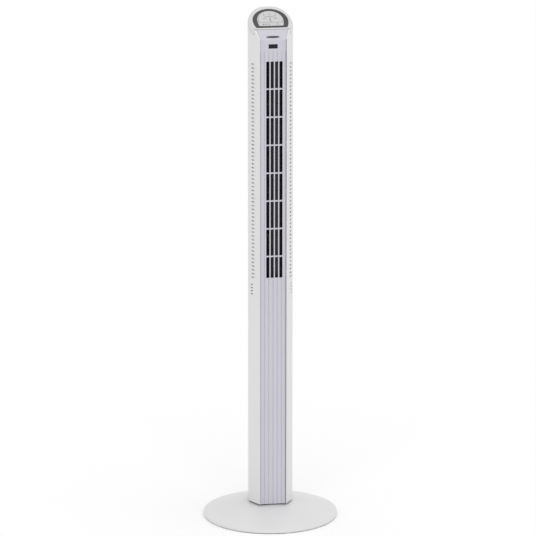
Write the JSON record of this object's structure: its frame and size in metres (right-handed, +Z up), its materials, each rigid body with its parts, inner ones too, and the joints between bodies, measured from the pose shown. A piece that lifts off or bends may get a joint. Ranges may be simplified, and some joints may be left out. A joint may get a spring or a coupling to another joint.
{
  "type": "tower fan",
  "caption": "Slim freestanding tower fan: a swinging column with a cross-flow impeller behind a fluted grille, on a round domed base.",
  "frame": {"origin": "on the floor under the feet, on the vertical axis that the column swings about", "axes": "+Z up; the air outlet and the control panel face -Y; +X is to the right when looking along +Y"},
  "size_m": [0.312, 0.3118, 1.1991],
  "materials": {
    "white_plastic": "smooth moulded white plastic with a soft gloss",
    "fascia_plastic": "satin moulded lavender-grey plastic",
    "dark_grey_plastic": "satin dark grey plastic",
    "membrane_plastic": "fine satin light grey plastic",
    "black_plastic": "plain moulded black plastic",
    "smoked_lens": "polished smoked plastic",
    "black_rubber": "matt moulded rubber",
    "zinc_steel": "zinc-plated steel",
    "cast_iron": "rough cast, painted black",
    "circuit_board": "solder-masked glass-fibre board",
    "acetal": "natural acetal",
    "bronze": "sintered bronze"
  },
  "bodies": {
    "base": {"base_cover": "white_plastic", "base_plate": "black_plastic", "base_weight": "cast_iron", "cord_gland": "black_rubber", "pivot_post": "acetal", "swing_gear": "acetal", "post_nut": "zinc_steel", "thrust_ring": "acetal", "rubber_foot_1": "black_rubber", "rubber_foot_2": "black_rubber", "rubber_foot_3": "black_rubber", "rubber_foot_4": "black_rubber", "rubber_foot_5": "black_rubber", "base_screw_1": "zinc_steel", "base_screw_2": "zinc_steel", "base_screw_3": "zinc_steel", "base_screw_4": "zinc_steel"},
    "column": {"column_foot": "black_plastic", "left_side_panel": "white_plastic", "right_side_panel": "white_plastic", "rear_cover": "white_plastic", "front_fascia": "fascia_plastic", "top_cap": "white_plastic", "control_frame": "dark_grey_plastic", "control_panel": "membrane_plastic", "control_board": "circuit_board", "ir_window": "smoked_lens", "ir_receiver": "black_plastic", "badge_bar": "dark_grey_plastic", "fan_motor": "zinc_steel", "motor_mount_ring_1": "black_rubber", "motor_mount_ring_2": "black_rubber", "motor_bracket": "zinc_steel", "duct_floor": "black_plastic", "duct_roof": "black_plastic", "air_duct_scroll": "black_plastic", "air_duct_tongue": "black_plastic", "upper_bearing": "bronze", "power_board": "circuit_board", "motor_capacitor": "black_plastic", "swing_motor": "zinc_steel", "wiring_harness": "black_plastic", "indicator_light_1": "smoked_lens", "indicator_light_2": "smoked_lens", "indicator_light_3": "smoked_lens", "indicator_light_4": "smoked_lens", "rear_screw_1": "zinc_steel", "rear_screw_2": "zinc_steel", "rear_screw_3": "zinc_steel", "rear_screw_4": "zinc_steel"},
    "impeller": {"impeller": "black_plastic", "motor_rotor": "zinc_steel"},
    "swing_pinion": {"swing_pinion": "acetal"},
    "power_button": {"power_button": "membrane_plastic"},
    "speed_button": {"speed_button": "membrane_plastic"},
    "timer_button": {"timer_button": "membrane_plastic"}
  },
  "joints": [
    {"name": "oscillation", "type": "hinge", "parent": "base", "child": "column", "pos_m": [0, 0, 0.04], "axis": [0, 0, 1], "range_deg": [-37.5, 37.5]},
    {"name": "fan_spin", "type": "hinge", "parent": "column", "child": "impeller", "pos_m": [0, 0.004, 0.8], "axis": [0, 0, 1], "continuous": true},
    {"name": "swing_pinion_spin", "type": "hinge", "parent": "column", "child": "swing_pinion", "pos_m": [0, 0.0275, 0.05], "axis": [0, 0, 1], "range_deg": [-101, 101]},
    {"name": "power_press", "type": "slide", "parent": "column", "child": "power_button", "axis": [0, 0.454, -0.891], "range_m": [0, 0.0008], "stiffness_N_per_m": 300},
    {"name": "speed_press", "type": "slide", "parent": "column", "child": "speed_button", "axis": [0, 0.454, -0.891], "range_m": [0, 0.0008], "stiffness_N_per_m": 300},
    {"name": "timer_press", "type": "slide", "parent": "column", "child": "timer_button", "axis": [0, 0.454, -0.891], "range_m": [0, 0.0008], "stiffness_N_per_m": 300}
  ],
  "couplings": [
    {"joint": "swing_pinion_spin", "follows": "oscillation", "ratio": 2.6667}
  ]
}
